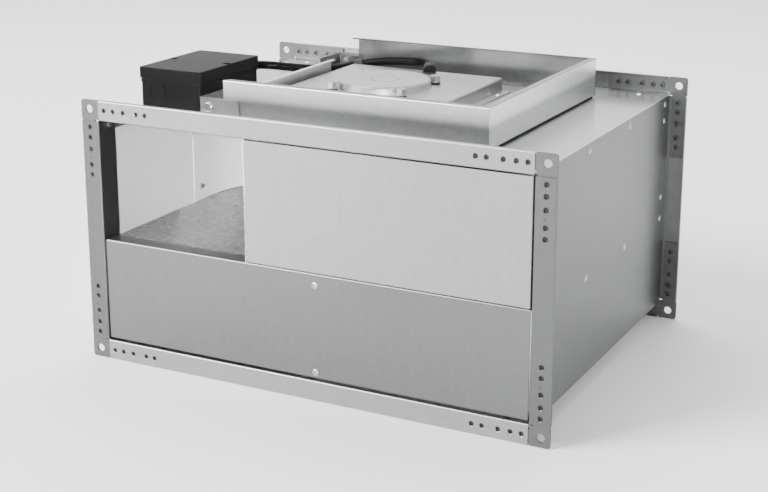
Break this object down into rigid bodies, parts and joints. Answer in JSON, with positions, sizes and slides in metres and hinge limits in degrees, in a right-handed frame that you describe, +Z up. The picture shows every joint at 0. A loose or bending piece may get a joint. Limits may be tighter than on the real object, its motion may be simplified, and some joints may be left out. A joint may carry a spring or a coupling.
{
  "type": "inline duct fan",
  "caption": "Rectangular galvanised in-line duct fan with flanged ends, scroll outlet, swing-out motor hatch, forward-curved impeller and a black terminal box on top.",
  "frame": {"origin": "centre of the footprint, at the underside of the two flanges", "axes": "+X along the wide side of the duct, +Y from the outlet end to the inlet end, +Z up"},
  "size_m": [0.54, 0.41, 0.318],
  "materials": {
    "galvanised_sheet": "hot-dip galvanised sheet, satin, fine grain",
    "galvanised_flange": "galvanised roll-formed profile, satin",
    "hatch_sheet": "galvanised sheet with a fine spangle, satin",
    "zinc_fasteners": "bright zinc plated",
    "black_rubber": "soft black rubber",
    "cast_motor": "die cast, fine grain",
    "rotor_paint": "black electrophoretic paint",
    "core_steel": "stamped and turned steel, slightly oiled",
    "copper_winding": "enamelled copper wire",
    "bearing_steel": "ground bearing steel",
    "impeller_sheet": "galvanised sheet, satin",
    "cable_sheath": "black rubber sheath, satin",
    "black_box_plastic": "moulded black plastic, fine texture",
    "terminal_plastic": "moulded off-white plastic",
    "capacitor_case": "smooth pale plastic can"
  },
  "bodies": {
    "casing": {"casing_bottom_panel": "galvanised_sheet", "casing_left_panel": "galvanised_sheet", "casing_right_panel": "galvanised_sheet", "casing_top_panel": "galvanised_sheet", "partition_plate": "galvanised_sheet", "inlet_ring": "galvanised_sheet", "volute_scroll": "galvanised_sheet", "volute_tongue": "galvanised_sheet", "front_lower_panel": "galvanised_sheet", "front_upper_panel": "galvanised_sheet", "panel_stiffener": "galvanised_sheet", "front_flange_long_bars": "galvanised_flange", "front_flange_side_bars": "galvanised_flange", "front_corner_plates": "galvanised_flange", "rear_flange_long_bars": "galvanised_flange", "rear_flange_side_bars": "galvanised_flange", "rear_corner_plates": "galvanised_flange", "hinge_bracket_front": "galvanised_flange", "hinge_bracket_rear": "galvanised_flange", "casing_rivets": "zinc_fasteners", "front_panel_screws": "zinc_fasteners", "hinge_bolts": "zinc_fasteners", "hinge_nuts": "zinc_fasteners", "box_screws": "zinc_fasteners", "cover_gasket": "black_rubber", "motor_cable_flex": "cable_sheath", "motor_cable_box_end": "cable_sheath", "terminal_box_base": "black_box_plastic", "terminal_box_cover": "black_box_plastic", "cable_gland": "black_box_plastic", "gland_nut": "black_box_plastic", "terminal_block": "terminal_plastic", "capacitor": "capacitor_case"},
    "hatch": {"hatch_base": "hatch_sheet", "hatch_gasket": "black_rubber", "hatch_front_wall": "hatch_sheet", "hatch_rear_wall": "hatch_sheet", "hatch_right_wall": "hatch_sheet", "hatch_left_wall": "hatch_sheet", "hatch_screws": "zinc_fasteners", "motor_bridge_plate": "hatch_sheet", "bridge_rivets": "zinc_fasteners", "motor_bolts": "zinc_fasteners", "motor_washers": "zinc_fasteners", "motor_dampers": "black_rubber", "motor_flange": "cast_motor", "motor_bearings": "bearing_steel", "motor_hub_cover": "cast_motor", "stator_core": "core_steel", "stator_windings": "copper_winding", "cable_grommet": "black_rubber", "motor_cable": "cable_sheath", "cable_clamp": "black_box_plastic", "clamp_screw": "zinc_fasteners"},
    "rotor": {"rotor_shell": "rotor_paint", "motor_shaft": "core_steel", "impeller_back_plate": "impeller_sheet", "impeller_blades": "impeller_sheet", "impeller_inlet_band": "impeller_sheet", "impeller_screws": "zinc_fasteners"}
  },
  "joints": [
    {"name": "hatch_swing", "type": "hinge", "parent": "casing", "child": "hatch", "pos_m": [-0.139, 0, 0.285], "axis": [0, -1, 0], "range_deg": [0, 80], "deforming": ["motor_cable_flex"]},
    {"name": "impeller_spin", "type": "hinge", "parent": "hatch", "child": "rotor", "pos_m": [-0.013, 0, 0.2], "axis": [0, 0, 1], "continuous": true}
  ]
}
